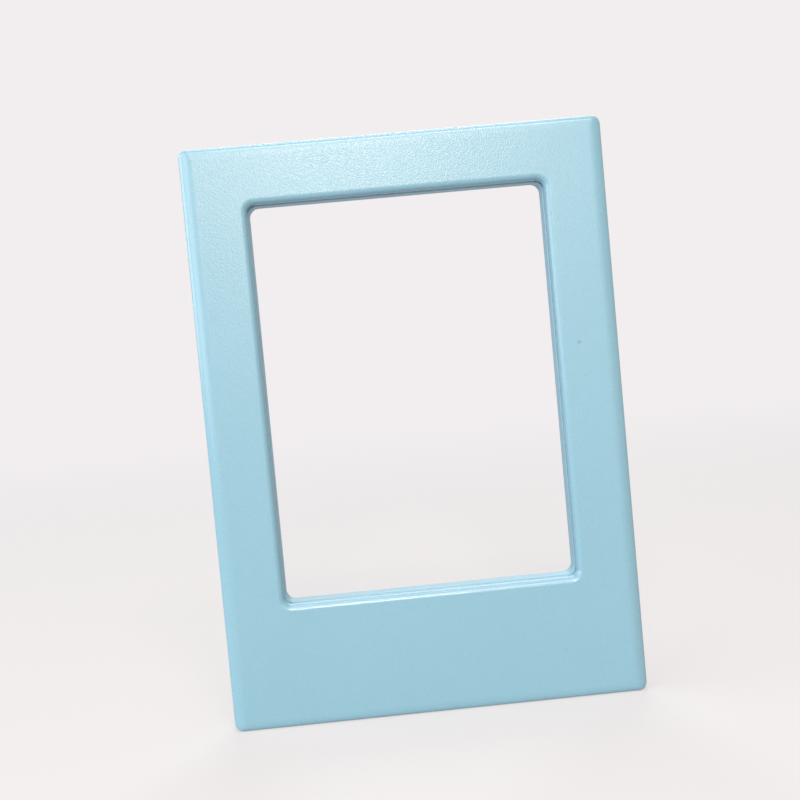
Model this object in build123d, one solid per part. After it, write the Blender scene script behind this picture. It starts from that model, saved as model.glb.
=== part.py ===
"""Magnetic photo frame for a mini instant print, 86 x 54 mm, whose picture is 62 x 46 mm.

Two moulded ABS halves close on the print like a sandwich. The front frame is a shell with a skirt:
its lip shows round the window, and the print lies behind that lip. The rear frame drops into the
skirt from behind and presses the print forward. Bar magnets in the side rails of both halves face
each other, so the halves snap together, and the rear ones also hold the frame on a steel surface.

Millimetres, +Z up, +X right as seen from the front, the front facing -Y, the back facing +Y.
The origin is the centre of the closed frame's box.
"""

import os
from math import cos, pi

from build123d import *

# Print that the frame holds, and the part of it that stays in view
print_width = 54.0
print_height = 86.0
print_gap = 0.5
window_width = 46.1
window_height = 62.3
window_below_print_top = 6.8
window_corner_radius = 1.5

# Bar magnets, the same length and width in both halves
magnet_length = 12.0
magnet_width = 3.0
front_magnet_thickness = 2.0
rear_magnet_thickness = 1.0
magnet_edge_chamfer = 0.2
magnets_per_rail = 3
magnet_end_gap = 1.2
magnet_clearance = 0.05
magnet_sink = 0.05

# Walls of the mouldings
skirt_wall = 1.45
end_wall = 2.3
pocket_wall = 0.55
front_skin = 1.45
rear_skin = 0.45
lip_thickness = 1.5
lip_setback = 0.15
skirt_recess = 0.2

# Clearance between the halves, and round the print
halves_clearance = 0.2
print_clearance = 0.2

# Rounded edges and corners
outer_corner_radius = 1.3
face_corner_radius = 0.3
front_edge_width = 2.2
front_edge_depth = 1.1
front_edge_power = 3.5
front_edge_sections = 13
skirt_edge_radius = 0.3
lip_corner_radius = 1.2
lip_edge_radius = 0.95
cavity_corner_radius = 1.0
rear_window_edge_radius = 0.25
rear_back_edge_radius = 0.4

# Ribbed core-out in the bottom bar of the rear frame, on the side that the print covers
core_out_wall = 1.5
core_out_rib = 1.2
core_out_floor = 1.2
core_out_cell = 7.0
core_out_corner_radius = 0.8

# Trimmed gate mark on the left side of the skirt
gate_below_top = 21.5
gate_length = 2.0
gate_depth = 0.8
gate_proud = 0.15

# Sizes across the frame, worked out from the print outwards
print_pocket_width = print_width + 2 * print_clearance
print_pocket_height = print_height + 2 * print_clearance
pocket_width = magnet_width + 2 * magnet_clearance
pocket_length = magnet_length + 2 * magnet_clearance
shelf_width = pocket_width + 2 * pocket_wall
outer_width = print_pocket_width + 2 * (shelf_width + skirt_wall)
outer_height = print_pocket_height + 2 * end_wall
flange_cavity_width = outer_width - 2 * skirt_wall
flange_cavity_height = outer_height - 2 * skirt_wall
window_top = print_height / 2 - window_below_print_top
window_middle = window_top - window_height / 2
window_bottom = window_top - window_height
lip_window_width = window_width + 2 * lip_setback
lip_window_height = window_height + 2 * lip_setback
shelf_middle = print_pocket_width / 2 + shelf_width / 2

# Levels in front of the back face, worked out from the stack of magnets
rear_pocket_depth = rear_magnet_thickness + magnet_sink
front_pocket_depth = front_magnet_thickness + magnet_sink
parting_level = rear_skin + rear_pocket_depth
front_level = parting_level + front_pocket_depth + front_skin
print_seat_level = front_level - lip_thickness
core_level = print_seat_level - print_gap
edge_level = front_level - front_edge_depth


def level(distance):
    """The plane at a distance in front of the back face, its normal towards the front."""
    return Plane.XZ.offset(distance - front_level / 2)


def slab(width, height, corner, low, high, middle=(0, 0)):
    """A plate with rounded corners between two levels, its middle given as x and z."""
    outline = Pos(*middle) * RectangleRounded(width, height, corner)
    return extrude(level(low) * outline, high - low)


def magnet_places():
    """Side name, number from the top, and x and z of each magnet in one half."""
    first = print_pocket_height / 2 - magnet_end_gap - magnet_length / 2
    pitch = 2 * first / (magnets_per_rail - 1)
    for side, sign in (("left", -1), ("right", 1)):
        for count in range(magnets_per_rail):
            yield side, count + 1, sign * shelf_middle, first - count * pitch


def magnet_block(x, z, low, thickness):
    """A plated block magnet standing upright in its rail, with broken edges."""
    outline = Pos(x, z) * Rectangle(magnet_width, magnet_length)
    block = extrude(level(low) * outline, thickness)
    return chamfer(block.edges(), magnet_edge_chamfer)


def magnet_pockets(low, high):
    """The pockets for one half's magnets, between two levels."""
    outlines = [Pos(x, z) * Rectangle(pocket_width, pocket_length) for _, _, x, z in magnet_places()]
    return extrude(level(low) * Sketch(children=outlines), high - low)


def gate_mark():
    """The stub where the gate was trimmed off, halfway up the skirt's left side."""
    skirt_middle = (skirt_recess + edge_level) / 2
    top = outer_height / 2 - gate_below_top
    stub = Box(2 * gate_proud, gate_depth, gate_length)
    stub = chamfer(stub.edges().filter_by(Axis.Y), gate_proud * 0.6)
    return Pos(-outer_width / 2, front_level / 2 - skirt_middle, top) * stub


def rolled_face():
    """The front of the shell: its face bends away gently, then rolls over tightly to the sides.

    The edge is a quarter superellipse, with power 2 a plain ellipse and a higher one a tighter roll.
    """
    outlines = []
    for step in range(front_edge_sections):
        share = cos(pi / 2 * step / (front_edge_sections - 1))
        inset = front_edge_width * (1 - share)
        rise = front_edge_depth * (1 - share ** front_edge_power) ** (1 / front_edge_power)
        corner = face_corner_radius + (outer_corner_radius - face_corner_radius) * share
        outline = RectangleRounded(outer_width - 2 * inset, outer_height - 2 * inset, corner)
        outlines.append(level(edge_level + rise) * outline)
    return loft(outlines)


def make_front_frame():
    """The moulded front shell: rolled face, skirt, lip round the window and magnet pockets."""
    shell = slab(outer_width, outer_height, outer_corner_radius, skirt_recess, edge_level)
    shell = fillet(shell.edges().group_by(Axis.Y)[-1], skirt_edge_radius)
    shell += rolled_face()
    shell -= slab(lip_window_width, lip_window_height, lip_corner_radius, 0, front_level,
                  (0, window_middle))
    window_rim = shell.faces().sort_by(Axis.Y)[0].inner_wires()[0]
    shell = fillet(window_rim.edges(), lip_edge_radius)
    shell -= slab(print_pocket_width, print_pocket_height, cavity_corner_radius, 0, print_seat_level)
    shell -= slab(flange_cavity_width, flange_cavity_height, cavity_corner_radius, 0, parting_level)
    shell -= magnet_pockets(parting_level, parting_level + front_pocket_depth)
    return shell + gate_mark()


def core_out():
    """The grid of hollows that thins the rear frame's bottom bar, ribs left between them."""
    width = print_pocket_width - 2 * halves_clearance - 2 * core_out_wall
    low = -print_pocket_height / 2 + halves_clearance + core_out_wall
    high = window_bottom - core_out_wall
    columns = max(1, round(width / (core_out_cell + core_out_rib)))
    rows = max(1, round((high - low) / (core_out_cell + core_out_rib)))
    cell_width = (width - (columns - 1) * core_out_rib) / columns
    cell_height = (high - low - (rows - 1) * core_out_rib) / rows
    grid = GridLocations(cell_width + core_out_rib, cell_height + core_out_rib, columns, rows)
    cell = RectangleRounded(cell_width, cell_height, core_out_corner_radius)
    outlines = Pos(0, (low + high) / 2) * Sketch(children=[place * cell for place in grid])
    return extrude(level(core_out_floor) * outlines, core_level - core_out_floor)


def make_rear_frame():
    """The moulded rear frame: flange in the skirt, core behind the print, window through both."""
    inset = 2 * halves_clearance
    corner = cavity_corner_radius - halves_clearance
    frame = slab(flange_cavity_width - inset, flange_cavity_height - inset, corner, 0, parting_level)
    frame = fillet(frame.edges().group_by(Axis.Y)[-1], rear_back_edge_radius)
    frame += slab(print_pocket_width - inset, print_pocket_height - inset, corner,
                  parting_level, core_level)
    frame -= slab(window_width, window_height, window_corner_radius, 0, core_level, (0, window_middle))
    front_rim = frame.faces().sort_by(Axis.Y)[0].inner_wires()[0]
    frame = fillet(front_rim.edges(), rear_window_edge_radius)
    back_rim = frame.faces().sort_by(Axis.Y)[-1].inner_wires()[0]
    frame = fillet(back_rim.edges(), rear_window_edge_radius)
    frame -= magnet_pockets(rear_skin, parting_level)
    return frame - core_out()


nodes = {
    "front_frame": make_front_frame(),
    "rear_frame": make_rear_frame(),
}
for side, number, x, z in magnet_places():
    nodes[f"front_magnet_{side}_{number}"] = magnet_block(
        x, z, parting_level + magnet_sink, front_magnet_thickness)
    nodes[f"rear_magnet_{side}_{number}"] = magnet_block(
        x, z, rear_skin, rear_magnet_thickness)

os.makedirs("parts", exist_ok=True)
for name, solid in nodes.items():
    solid.label = name
    export_step(solid, f"parts/{name}.step")
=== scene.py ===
import math

import bpy
import numpy as np
from mathutils import Matrix, Vector


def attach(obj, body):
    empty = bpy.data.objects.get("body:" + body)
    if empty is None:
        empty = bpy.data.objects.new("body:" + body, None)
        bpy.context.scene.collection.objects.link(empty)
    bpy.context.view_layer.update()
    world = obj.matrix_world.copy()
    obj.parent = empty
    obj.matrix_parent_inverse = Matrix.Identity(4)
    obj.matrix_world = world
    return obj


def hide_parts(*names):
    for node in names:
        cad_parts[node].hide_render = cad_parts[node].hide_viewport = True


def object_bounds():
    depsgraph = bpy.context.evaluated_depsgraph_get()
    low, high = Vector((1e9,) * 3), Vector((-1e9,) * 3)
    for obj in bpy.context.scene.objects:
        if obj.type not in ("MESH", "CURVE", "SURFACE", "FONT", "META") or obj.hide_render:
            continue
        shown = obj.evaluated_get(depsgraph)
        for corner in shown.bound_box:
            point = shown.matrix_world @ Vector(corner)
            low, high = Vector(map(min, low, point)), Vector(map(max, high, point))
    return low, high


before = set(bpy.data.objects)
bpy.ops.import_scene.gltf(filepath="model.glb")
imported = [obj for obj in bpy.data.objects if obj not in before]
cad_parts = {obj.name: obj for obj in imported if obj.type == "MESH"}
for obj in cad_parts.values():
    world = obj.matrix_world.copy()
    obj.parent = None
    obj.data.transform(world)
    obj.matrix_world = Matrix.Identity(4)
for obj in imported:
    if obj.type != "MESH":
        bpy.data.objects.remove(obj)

cad_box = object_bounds()


# Front frame: the shell that shows, injection moulded in light blue ABS.
# Its mould was spark eroded to a fine satin texture, so the face is matt with a faint sparkle.
# It carries six magnets in pockets behind the side rails, and lifts off the rear frame.
MM = 0.001
front_face = cad_box[0].y


def linear(hex_colour):
    """An sRGB hex colour as linear red, green, blue and alpha."""
    channels = [int(hex_colour[i:i + 2], 16) / 255 for i in (1, 3, 5)]
    return [c / 12.92 if c <= 0.04045 else ((c + 0.055) / 1.055) ** 2.4 for c in channels] + [1.0]


def add(tree, kind, settings=None, **inputs):
    """Adds a node with its settings, and sets or links its inputs.

    An input goes by its name, with underscores for spaces, or by its place, such as _0 for the first.
    """
    node = tree.nodes.new("ShaderNode" + kind)
    for name, value in (settings or {}).items():
        setattr(node, name, value)
    for name, value in inputs.items():
        slot = node.inputs[int(name[1:])] if name[1:].isdigit() else node.inputs[name.replace("_", " ")]
        if isinstance(value, bpy.types.NodeSocket):
            tree.links.new(value, slot)
        else:
            slot.default_value = value
    return node


def new_material(name):
    """An empty node material and its output node."""
    material = bpy.data.materials.new(name)
    material.use_nodes = True
    material.node_tree.nodes.clear()
    return material, material.node_tree, add(material.node_tree, "OutputMaterial")


def per_metre(size_mm):
    """Noise scale whose features are about one size across, from that size in millimetres."""
    return 1 / (size_mm * MM)


def satin_abs(name, pigment, shade, roughness, wear, flecks=()):
    """Moulded ABS with a spark-eroded satin skin: cloudy pigment, fine grain and a faint sink ripple.

    To the eye it is a soft pale blue, whose grain sparkles where a lamp glances off it.
    wear makes the mask, from the tree and the place on the piece, of where the grain is rubbed down.
    flecks are specks of scorched resin in the skin: x, z and width in millimetres, and how dark each is.
    """
    cloud_size = 18.0
    ripple_size = 4.0
    ripple_height = 0.004
    # The real grain is about 0.1 mm, less than a pixel, so it is drawn twice as coarse.
    grain_size = 0.22
    grain_height = 0.024
    grain_low = 0.3
    grain_high = 0.7
    mottle_spread = 0.025
    roughness_spread = 0.06
    rubbed_polish = -0.12
    rubbed_grain = 0.05
    scorched_resin = "#4A5A60"
    fleck_core = 0.2
    fleck_rim = 0.7
    material, tree, output = new_material(name)
    place = add(tree, "TexCoord").outputs["Object"]
    worn = wear(tree, place)
    cloud = add(tree, "TexNoise", Vector=place, Scale=per_metre(cloud_size), Detail=3.0)
    ripple = add(tree, "TexNoise", Vector=place, Scale=per_metre(ripple_size), Detail=1.0)
    grain = add(tree, "TexNoise", Vector=place, Scale=per_metre(grain_size), Detail=1.0)
    clouded = add(tree, "MixRGB", Fac=cloud.outputs["Fac"], Color1=linear(shade), Color2=linear(pigment))
    mottle = add(tree, "MapRange", Value=grain.outputs["Fac"], From_Min=grain_low, From_Max=grain_high,
                 To_Min=1 - mottle_spread, To_Max=1 + mottle_spread)
    mottled = add(tree, "VectorMath", {"operation": "SCALE"}, _0=clouded.outputs["Color"],
                  Scale=mottle.outputs["Result"])
    tint = mottled.outputs["Vector"]
    for x, z, width, darkness in flecks:
        spot = (x * MM, front_face, z * MM)
        gap = add(tree, "VectorMath", {"operation": "DISTANCE"}, _0=place, _1=spot)
        cover = add(tree, "MapRange", {"interpolation_type": "SMOOTHSTEP"}, Value=gap.outputs["Value"],
                    From_Min=fleck_core * width * MM, From_Max=fleck_rim * width * MM,
                    To_Min=darkness, To_Max=0.0)
        flecked = add(tree, "MixRGB", Fac=cover.outputs["Result"], Color1=tint,
                      Color2=linear(scorched_resin))
        tint = flecked.outputs["Color"]
    skin = add(tree, "MapRange", Value=grain.outputs["Fac"], From_Min=grain_low, From_Max=grain_high,
               To_Min=roughness - roughness_spread, To_Max=roughness + roughness_spread)
    polished = add(tree, "Math", {"operation": "MULTIPLY_ADD"}, _0=worn, _1=rubbed_polish,
                   _2=skin.outputs["Result"])
    grain_left = add(tree, "MapRange", Value=worn, To_Min=1.0, To_Max=rubbed_grain)
    wave = add(tree, "Bump", Height=ripple.outputs["Fac"], Strength=grain_left.outputs["Result"],
               Distance=ripple_height * MM)
    relief = add(tree, "Bump", Height=grain.outputs["Fac"], Normal=wave.outputs["Normal"],
                 Strength=grain_left.outputs["Result"], Distance=grain_height * MM)
    plastic = add(tree, "BsdfPrincipled", Base_Color=tint, Roughness=polished.outputs["Value"], IOR=1.54,
                  Normal=relief.outputs["Normal"])
    tree.links.new(plastic.outputs["BSDF"], output.inputs["Surface"])
    return material


def rounded_outlines(half_width, half_height, corner, middle):
    """Rings of points round rectangles with round corners, as x and z, one for each entry of the sizes.

    A corner is a quarter circle about the point one radius in from both sides, in equal steps of angle,
    and each straight side between two corners is cut into equal lengths. With the rings comes how far
    each point faces sideways, the square of the cosine of its outward angle: 1 down the sides, 0 along
    the ends.
    """
    corner_steps = 10
    side_steps = 8
    right_or_left = np.array((1, -1, -1, 1))
    up_or_down = np.array((1, 1, -1, -1))
    quarter = np.arange(4)[:, None]
    angle = np.pi / 2 * (quarter + np.linspace(0, 1, corner_steps + 1))
    corner = corner[:, None, None]
    x = right_or_left[:, None] * (half_width[:, None, None] - corner) + corner * np.cos(angle)
    z = up_or_down[:, None] * (half_height[:, None, None] - corner) + corner * np.sin(angle)
    rings = np.stack((x, z + middle[:, None, None]), -1).reshape(len(corner), -1, 2)
    count = rings.shape[1]
    along_side = np.linspace(0, 1, side_steps + 1)[1:-1]
    sides = corner_steps + quarter * (corner_steps + 1) + along_side
    stops = np.sort(np.concatenate((np.arange(count), sides.ravel())))
    before = stops.astype(int)
    after = (before + 1) % count
    share = (stops - before)[:, None]
    sideways = np.cos(angle).reshape(-1, 1) ** 2
    return (rings[:, before] * (1 - share) + rings[:, after] * share,
            (sideways[before] * (1 - share) + sideways[after] * share)[:, 0])


def mesh_piece(name, points, faces):
    """A mesh object in the scene from points in millimetres and faces."""
    mesh = bpy.data.meshes.new(name)
    mesh.from_pydata(points * MM, [], faces)
    piece = bpy.data.objects.new(name, mesh)
    bpy.context.scene.collection.objects.link(piece)
    return piece


def blocks(name, middles, half_sizes, taper=1.0):
    """Boxes of one size in one mesh: each corner is its middle plus or minus half the size.

    The left ends are shorter by the taper.
    """
    corners = np.stack(np.meshgrid((-1, 1), (-1, 1), (-1, 1), indexing="ij"), -1).reshape(-1, 3)
    corners = corners * np.where(corners[:, :1] < 0, (1, 1, taper), 1)
    sides = np.array(((0, 1, 3, 2), (4, 6, 7, 5), (0, 4, 5, 1), (2, 3, 7, 6), (0, 2, 6, 4), (1, 5, 7, 3)))
    points = np.asarray(middles)[:, None] + corners * half_sizes
    faces = sides + len(corners) * np.arange(len(middles))[:, None, None]
    return mesh_piece(name, points.reshape(-1, 3), faces.reshape(-1, 4))


def joined_by(piece, operation, other):
    """Cuts another object's shape from a piece, or adds it, and removes that object."""
    boolean = piece.modifiers.new(operation.lower(), "BOOLEAN")
    boolean.operation = operation
    boolean.object = other
    boolean.solver = "EXACT"
    shaped = piece.evaluated_get(bpy.context.evaluated_depsgraph_get())
    mesh = bpy.data.meshes.new_from_object(shaped)
    piece.modifiers.clear()
    piece.data = mesh
    mesh.name = piece.name
    bpy.data.objects.remove(other)


def moulded_shell(name):
    """The front shell: rounded rectangles carried along its section, closed, with magnet pockets cut in.

    The section runs from the print's seat up the window's lip, round the lip's quarter circle, across
    the face, over the outer edge's roll, down the skirt, round its foot and up the steps inside.
    The roll is a tight quarter superellipse along the top and bottom. Down the sides it is a softer one,
    whose face sinks by the square of the way across it as well, fading out with depth.
    Pairs of close rings beside the rounds keep the flats flat in the shading.
    """
    half_width = cad_box[1].x / MM
    half_height = cad_box[1].z / MM
    beside = 0.05
    seat_depth = 1.5
    lip_half_width = 23.2
    lip_half_height = 31.3
    lip_middle = 5.05
    lip_corner = 1.2
    lip_edge = 0.95
    lip_rings = 13
    roll_width = 2.2
    roll_depth = 1.1
    roll_rings = 25
    end_power = 3.5
    side_power = 2.2
    side_drop = 0.29
    face_corner = 0.3
    outer_corner = 1.3
    skirt_depth = 4.8
    foot_edge = 0.3
    foot_rings = 7
    flange_depth = 3.5
    step_half_width = np.array((31.4, 31.4, 27.2, 27.2))
    step_half_height = np.array((44.05, 44.05, 43.2, 43.2))
    step_depth = np.array((skirt_depth, flange_depth, flange_depth, seat_depth))
    step_corner = np.full(len(step_depth), 1.0)

    turn = np.linspace(0, np.pi / 2, lip_rings)
    lip_out = np.concatenate(([0], lip_edge * (1 - np.cos(turn)), [lip_edge + beside]))
    lip_depth = np.concatenate(([seat_depth], lip_edge * (1 - np.sin(turn)), [0]))
    over = np.sin(np.linspace(0, np.pi / 2, roll_rings))
    end_fall = roll_depth * (1 - (1 - over ** end_power) ** (1 / end_power))
    side_fall = roll_depth * (1 - (1 - over ** side_power) ** (1 / side_power))
    side_fall += side_drop * over ** 2 * (1 - side_fall / roll_depth)
    foot_turn = np.linspace(0, np.pi / 2, foot_rings)
    foot_in = foot_edge * (1 - np.cos(foot_turn))
    side_in = np.concatenate(([roll_width + beside], roll_width * (1 - over), [0, 0], foot_in,
                              [foot_edge + beside]))
    side_depth = np.concatenate(([0], end_fall, [roll_depth + beside, skirt_depth - foot_edge - beside],
                                 skirt_depth - foot_edge * (1 - np.sin(foot_turn)), [skirt_depth]))
    side_corner = np.concatenate(([face_corner], face_corner + (outer_corner - face_corner) * over,
                                  [outer_corner] * 2, outer_corner - foot_in, [outer_corner - foot_edge]))

    ring_half_width = np.concatenate((lip_half_width + lip_out, half_width - side_in, step_half_width))
    ring_half_height = np.concatenate((lip_half_height + lip_out, half_height - side_in, step_half_height))
    ring_corner = np.concatenate((lip_corner + lip_out, side_corner, step_corner))
    ring_middle = np.concatenate((np.full(len(lip_out), lip_middle),
                                  np.zeros(len(side_in) + len(step_depth))))
    rings, sideways = rounded_outlines(ring_half_width, ring_half_height, ring_corner, ring_middle)
    count, around = rings.shape[:2]
    depth = np.repeat(np.concatenate((lip_depth, side_depth, step_depth))[:, None], around, 1)
    fall = end_fall[:, None] + (side_fall - end_fall)[:, None] * sideways
    roll = slice(len(lip_out) + 1, len(lip_out) + 1 + roll_rings)
    depth[roll] = fall
    points = np.stack((rings[..., 0], front_face / MM + depth, rings[..., 1]), -1).reshape(-1, 3)
    ring, stop = np.meshgrid(np.arange(count), np.arange(around), indexing="ij")
    next_ring = (ring + 1) % count
    next_stop = (stop + 1) % around
    faces = np.stack((ring * around + stop, ring * around + next_stop,
                      next_ring * around + next_stop, next_ring * around + stop), -1).reshape(-1, 4)
    shell = mesh_piece(name, points, faces)

    # Use rubs a shoulder most where it leans about 20 to 45 degrees from the face.
    rub_lean = np.radians((8, 18, 47, 68))
    rub_share = (0, 1, 1, 0)
    roll_lean = np.arctan2(np.gradient(fall, axis=0), np.gradient(roll_width * over)[:, None])
    rubbed = np.zeros((count, around), np.float32)
    rubbed[1:1 + lip_rings] = np.interp(np.pi / 2 - turn, rub_lean, rub_share)[:, None]
    rubbed[roll] = np.interp(roll_lean, rub_lean, rub_share)
    shell.data.attributes.new("rubbed", "FLOAT", "POINT").data.foreach_set("value", rubbed.ravel())

    pocket_x = 29.3
    pocket_z = 36.0
    pocket_floor = -1.05
    pocket_half = np.array((1.55, 1.25, 6.05))
    pockets = [(side * pocket_x, pocket_floor + pocket_half[1], row * pocket_z)
               for side in (-1, 1) for row in (-1, 0, 1)]
    joined_by(shell, "DIFFERENCE", blocks("pockets", pockets, pocket_half))
    gate_middle = (-half_width, 0.45, 24.0)
    gate_half = np.array((0.15, 0.4, 1.0))
    gate_taper = 0.9
    joined_by(shell, "UNION", blocks("gate", [gate_middle], gate_half, gate_taper))
    crease = math.radians(35)
    shell.data.shade_smooth()
    shell.data.set_sharp_from_angle(angle=crease)
    return shell


def shoulder_wear(tree, place):
    """Mask of the shoulders rubbed in use, outside and round the window: the shell's own attribute."""
    return add(tree, "Attribute", {"attribute_name": "rubbed"}).outputs["Fac"]


front_pigment = "#87B9D0"
front_shade = "#83B5CC"
front_roughness = 0.335
front_flecks = ((26.5, 10.6, 0.7, 0.28), (27.2, 5.3, 0.5, 0.12), (27.8, 5.7, 0.4, 0.1),
                (-30.1, 20.6, 0.4, 0.12), (-0.9, -28.5, 0.4, 0.12), (20.3, -37.6, 0.6, 0.08))
front_abs = satin_abs("satin_moulded_abs_front", front_pigment, front_shade, front_roughness,
                      shoulder_wear, front_flecks)
front_shell = moulded_shell("front_shell")
front_shell.data.materials.append(front_abs)
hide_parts("front_frame")
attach(front_shell, "front_half")


# Rear frame: the insert behind the print, moulded in the same ABS with the same satin finish.
# It drops into the front frame's skirt, and magnets in its flange hold it there.
# Its back lies on the steel surface, so that face has fine rubs.
def back_rubs(tree, place):
    """Mask of fine rubs on the back face: noise drawn out into short streaks, and only near that face."""
    streak_width = 0.35
    streak_length = 9.0
    streak_turn = math.radians(22)
    streak_low = 0.5
    streak_high = 0.72
    rub_depth = 0.1
    back = cad_box[1].y
    scale = (per_metre(streak_width), 1.0, per_metre(streak_length))
    drawn_out = add(tree, "Mapping", Vector=place, Rotation=(0.0, streak_turn, 0.0), Scale=scale)
    streaks = add(tree, "TexNoise", Vector=drawn_out.outputs["Vector"], Scale=1.0, Detail=2.0)
    rubs = add(tree, "MapRange", Value=streaks.outputs["Fac"], From_Min=streak_low, From_Max=streak_high)
    depth = add(tree, "SeparateXYZ", Vector=place)
    near = add(tree, "MapRange", Value=depth.outputs["Y"], From_Min=back - rub_depth * MM, From_Max=back)
    mask = add(tree, "Math", {"operation": "MULTIPLY"}, _0=rubs.outputs["Result"],
               _1=near.outputs["Result"])
    return mask.outputs["Value"]


rear_pigment = "#87B9D0"
rear_shade = "#83B5CC"
rear_roughness = 0.42
rear_abs = satin_abs("satin_moulded_abs_rear", rear_pigment, rear_shade, rear_roughness, back_rubs)
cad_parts["rear_frame"].data.materials[0] = rear_abs


# Magnets: sintered blocks, nickel plated in a barrel, glued into the pockets of both halves.
# The plating is bright but softened by tumbling, with a slightly warm grey colour.
def barrel_nickel():
    """Nickel plating on a tumbled block: to the eye a warm grey metal with soft marks and tiny pits."""
    plating = "#D8D3C9"
    mark_size = 1.4
    mark_low = 0.35
    mark_high = 0.7
    bright_roughness = 0.2
    dull_roughness = 0.38
    pit_size = 0.3
    pit_depth = 0.004
    pit_strength = 0.4
    material, tree, output = new_material("barrel_nickel_plating")
    place = add(tree, "TexCoord").outputs["Object"]
    marks = add(tree, "TexNoise", Vector=place, Scale=per_metre(mark_size), Detail=4.0)
    pits = add(tree, "TexNoise", Vector=place, Scale=per_metre(pit_size), Detail=2.0)
    dulling = add(tree, "MapRange", Value=marks.outputs["Fac"], From_Min=mark_low, From_Max=mark_high,
                  To_Min=bright_roughness, To_Max=dull_roughness)
    relief = add(tree, "Bump", Height=pits.outputs["Fac"], Strength=pit_strength, Distance=pit_depth * MM)
    metal = add(tree, "BsdfPrincipled", Base_Color=linear(plating), Metallic=1.0,
                Roughness=dulling.outputs["Result"], Normal=relief.outputs["Normal"])
    tree.links.new(metal.outputs["BSDF"], output.inputs["Surface"])
    return material


nickel = barrel_nickel()
for node_name, node_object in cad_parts.items():
    if "_magnet_" in node_name:
        node_object.data.materials[0] = nickel


# Floor: a plain pale surface under the frame's bottom edge.
# It keeps the frame's shadow near by, and further out it is the backdrop's own near white.
backdrop_white = "#F2EEEF"
floor_radius = 3.0
floor_gap = 0.02


def seen_directly(tree):
    """One where the camera sees a surface, straight or in a reflection or through glass."""
    path = add(tree, "LightPath")
    mirrored = add(tree, "Math", {"operation": "MAXIMUM"}, _0=path.outputs["Is Glossy Ray"],
                   _1=path.outputs["Is Transmission Ray"])
    seen = add(tree, "Math", {"operation": "MAXIMUM"}, _0=path.outputs["Is Camera Ray"],
               _1=mirrored.outputs["Value"])
    return seen.outputs["Value"]


def pale_floor():
    """Matt off-white floor: its own glow and some shading near the frame, plain backdrop far from it.

    Other surfaces are lit by it as by a plain matt floor.
    """
    shaded_white = "#9D9EA0"
    glowing_white = "#B6B3B4"
    bounced_white = "#AAA6A7"
    fade_start = 0.15
    fade_end = 0.7
    material, tree, output = new_material("matt_pale_floor")
    place = add(tree, "TexCoord").outputs["Object"]
    away = add(tree, "VectorMath", {"operation": "LENGTH"}, _0=place)
    faded = add(tree, "MapRange", {"interpolation_type": "SMOOTHSTEP"}, Value=away.outputs["Value"],
                From_Min=fade_start, From_Max=fade_end)
    matt = add(tree, "BsdfDiffuse", Color=linear(shaded_white))
    glow = add(tree, "Emission", Color=linear(glowing_white), Strength=1.0)
    shaded = add(tree, "AddShader", _0=matt.outputs["BSDF"], _1=glow.outputs["Emission"])
    plain = add(tree, "Emission", Color=linear(backdrop_white), Strength=1.0)
    near = add(tree, "MixShader", Fac=faded.outputs["Result"], _1=shaded.outputs["Shader"],
               _2=plain.outputs["Emission"])
    lit = add(tree, "BsdfDiffuse", Color=linear(bounced_white))
    shown = add(tree, "MixShader", Fac=seen_directly(tree), _1=lit.outputs["BSDF"],
                _2=near.outputs["Shader"])
    tree.links.new(shown.outputs["Shader"], output.inputs["Surface"])
    return material


floor_level = cad_box[0].z - floor_gap * MM
corners = [(-floor_radius, -floor_radius, floor_level), (floor_radius, -floor_radius, floor_level),
           (floor_radius, floor_radius, floor_level), (-floor_radius, floor_radius, floor_level)]
floor_mesh = bpy.data.meshes.new("floor")
floor_mesh.from_pydata(corners, [], [(0, 1, 2, 3)])
floor = bpy.data.objects.new("floor", floor_mesh)
floor.data.materials.append(pale_floor())
bpy.context.scene.collection.objects.link(floor)


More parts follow.
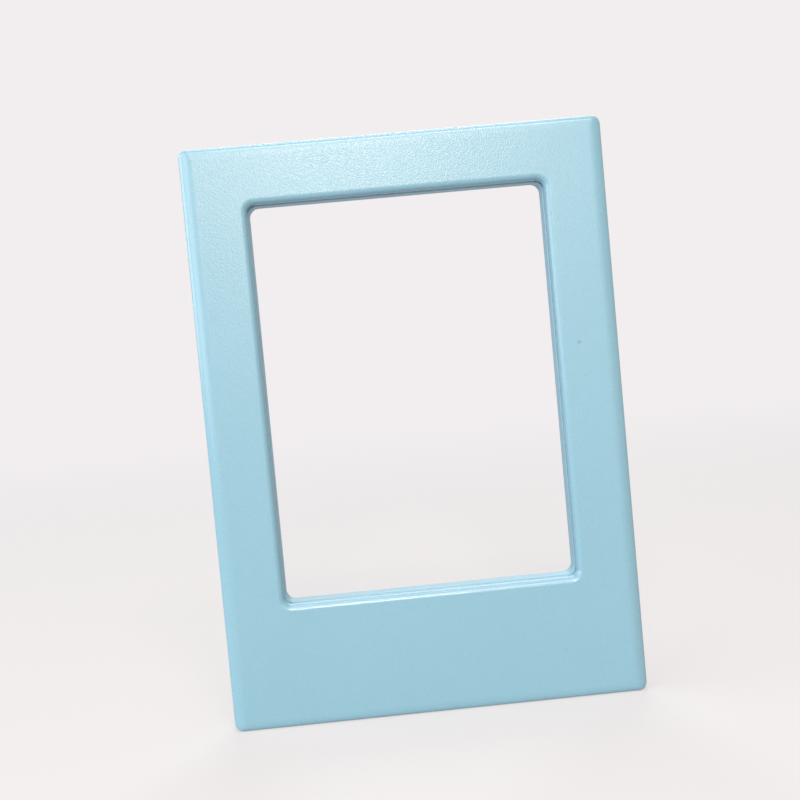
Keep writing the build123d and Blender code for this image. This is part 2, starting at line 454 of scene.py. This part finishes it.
# Light: a compact warm lamp just above the camera gives the satin glow along the top bar.
# A strip higher up draws the bright lines along the top edge and the window's lower lip.
# Soft panels stand above, to the left and right and behind, and the world shows as the backdrop.
def panel(name, azimuth, elevation, width, height, watts, colour="#FFFFFF"):
    """An area lamp a metre from the frame and facing it, its angles from straight ahead in degrees."""
    lamp = bpy.data.lights.new(name, "AREA")
    lamp.shape = "RECTANGLE"
    lamp.size = width
    lamp.size_y = height
    lamp.energy = watts
    lamp.color = linear(colour)[:3]
    aside = math.radians(azimuth)
    up = math.radians(elevation)
    place = Vector((math.sin(aside) * math.cos(up), -math.cos(aside) * math.cos(up), math.sin(up)))
    panel_object = bpy.data.objects.new(name, lamp)
    panel_object.location = place
    panel_object.rotation_euler = (-place).to_track_quat("-Z", "Y").to_euler()
    panel_object.visible_camera = False
    bpy.context.scene.collection.objects.link(panel_object)


warm_white = "#FFEBDA"
panel("lamp", -1, 18, 0.2, 0.2, 4.9, warm_white)
panel("strip_above", 3, 43, 0.5, 0.2, 4.6, warm_white)
panel("panel_above", 0, 84, 0.4, 0.4, 2.8)
panel("panel_near_left", -48, 12, 0.6, 0.5, 3.0)
panel("panel_left", -85, 15, 0.5, 0.5, 3.8)
panel("panel_right", 24, 12, 0.4, 0.4, 0.6)
panel("panel_behind", 172, 40, 0.6, 0.6, 4.6)

fill_white = "#FFFFFF"
fill_strength = 0.1
world = bpy.data.worlds.new("studio")
bpy.context.scene.world = world
world.use_nodes = True
sky = world.node_tree
sky.nodes.clear()
fill = add(sky, "Background", Color=linear(fill_white), Strength=fill_strength)
backdrop = add(sky, "Background", Color=linear(backdrop_white), Strength=1.0)
sky_mix = add(sky, "MixShader", Fac=seen_directly(sky), _1=fill.outputs["Background"],
              _2=backdrop.outputs["Background"])
add(sky, "OutputWorld", Surface=sky_mix.outputs["Shader"])


# Camera: a normal lens close to the frame, a little above and left of its middle, and rolled.
# Place, aim and roll come from the frame's corners in the photograph, in its 800 pixel square.
photo_width = 800
focal_pixels = 1100
sensor_width = 36
camera_place = Vector((-8.1, -173.5, 11.6)) * MM
camera_aim = Vector((-2.26, -2.5, 4.185)) * MM
camera_roll = math.radians(-5.31)

camera_data = bpy.data.cameras.new("camera")
camera_data.sensor_width = sensor_width
camera_data.lens = sensor_width * focal_pixels / photo_width
camera_data.clip_start = 0.01
camera_data.clip_end = 20
camera = bpy.data.objects.new("camera", camera_data)
facing = (camera_aim - camera_place).to_track_quat("-Z", "Y").to_matrix().to_4x4()
camera.matrix_world = Matrix.Translation(camera_place) @ facing @ Matrix.Rotation(camera_roll, 4, "Z")
bpy.context.scene.collection.objects.link(camera)
bpy.context.scene.camera = camera

bpy.context.scene.view_settings.view_transform = "Standard"
